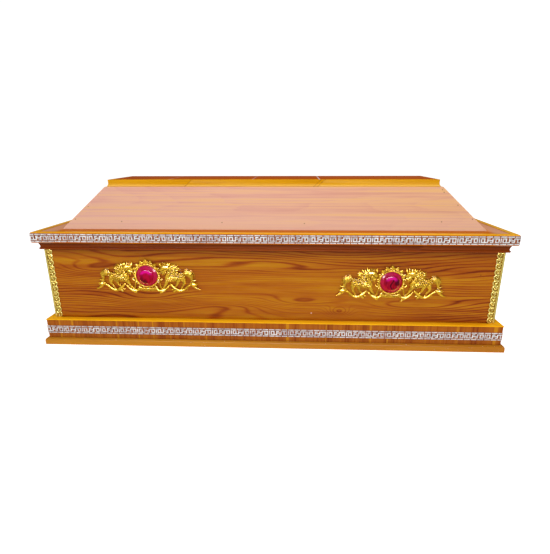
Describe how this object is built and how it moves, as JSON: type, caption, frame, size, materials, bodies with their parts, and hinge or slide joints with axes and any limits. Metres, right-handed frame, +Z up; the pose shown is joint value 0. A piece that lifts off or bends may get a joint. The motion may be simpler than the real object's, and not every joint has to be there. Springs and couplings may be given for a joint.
{
  "type": "coffin",
  "caption": "Oblong wooden coffin on a plinth with a hipped lift-off lid, silver key strips, gilt corner trims and gilt beast ornaments flanking red jewels.",
  "frame": {"origin": "centre of the footprint on the underside, where the coffin stands", "axes": "+X along the length towards the picture's right, +Y from the front to the back, +Z up"},
  "size_m": [2.022, 0.702, 0.712],
  "materials": {
    "body_wood": "glossy golden brown laminate with a long wavy grain",
    "inside_wood": "bare sawn board",
    "plinth_wood": "glossy brown veneer with upright grain",
    "skirting_wood": "caramel brown varnish, rounded top",
    "collar_wood": "dark red-brown varnish",
    "rim_wood": "brown varnish with a milky bloom",
    "yellow_edging": "golden yellow paint",
    "slope_wood": "pale pinkish tan veneer with fine streaks",
    "top_wood": "dark red-brown varnish",
    "silver_strip": "silver-plated pressed relief",
    "gilt": "bright gold plating on a moulded relief",
    "jewel": "polished magenta-red dome"
  },
  "bodies": {
    "root": {"bottom_board": "inside_wood", "wall_front": "body_wood", "wall_back": "body_wood", "wall_left": "body_wood", "wall_right": "body_wood", "plinth_front": "plinth_wood", "plinth_right": "plinth_wood", "plinth_back": "plinth_wood", "plinth_left": "plinth_wood", "skirting_front": "skirting_wood", "skirting_right": "skirting_wood", "skirting_back": "skirting_wood", "skirting_left": "skirting_wood", "ledge_front": "yellow_edging", "ledge_right": "yellow_edging", "ledge_back": "yellow_edging", "ledge_left": "yellow_edging", "plinth_key_strip_front": "silver_strip", "plinth_key_strip_right": "silver_strip", "plinth_key_strip_back": "silver_strip", "plinth_key_strip_left": "silver_strip", "collar_front": "collar_wood", "collar_right": "collar_wood", "collar_back": "collar_wood", "collar_left": "collar_wood", "lid_rim_front": "rim_wood", "lid_rim_right": "rim_wood", "lid_rim_back": "rim_wood", "lid_rim_left": "rim_wood", "lid_border_front": "yellow_edging", "lid_border_right": "yellow_edging", "lid_border_back": "yellow_edging", "lid_border_left": "yellow_edging", "lid_key_strip_front": "silver_strip", "lid_key_strip_right": "silver_strip", "lid_key_strip_back": "silver_strip", "lid_key_strip_left": "silver_strip", "lid_slope_front": "slope_wood", "lid_slope_right": "slope_wood", "lid_slope_back": "slope_wood", "lid_slope_left": "slope_wood", "lid_top_board": "top_wood", "lid_top_moulding_front_left": "yellow_edging", "lid_top_moulding_front_middle": "yellow_edging", "lid_top_moulding_front_right": "yellow_edging", "lid_top_moulding_right": "yellow_edging", "lid_top_moulding_back": "yellow_edging", "lid_top_moulding_left": "yellow_edging", "corner_trim_front_left": "gilt", "corner_trim_front_right": "gilt", "corner_trim_back_right": "gilt", "corner_trim_back_left": "gilt", "ornament_front_left": "gilt", "ornament_front_right": "gilt", "ornament_back_left": "gilt", "ornament_back_right": "gilt", "jewel_front_left": "jewel", "jewel_front_right": "jewel", "jewel_back_left": "jewel", "jewel_back_right": "jewel"}
  },
  "joints": []
}
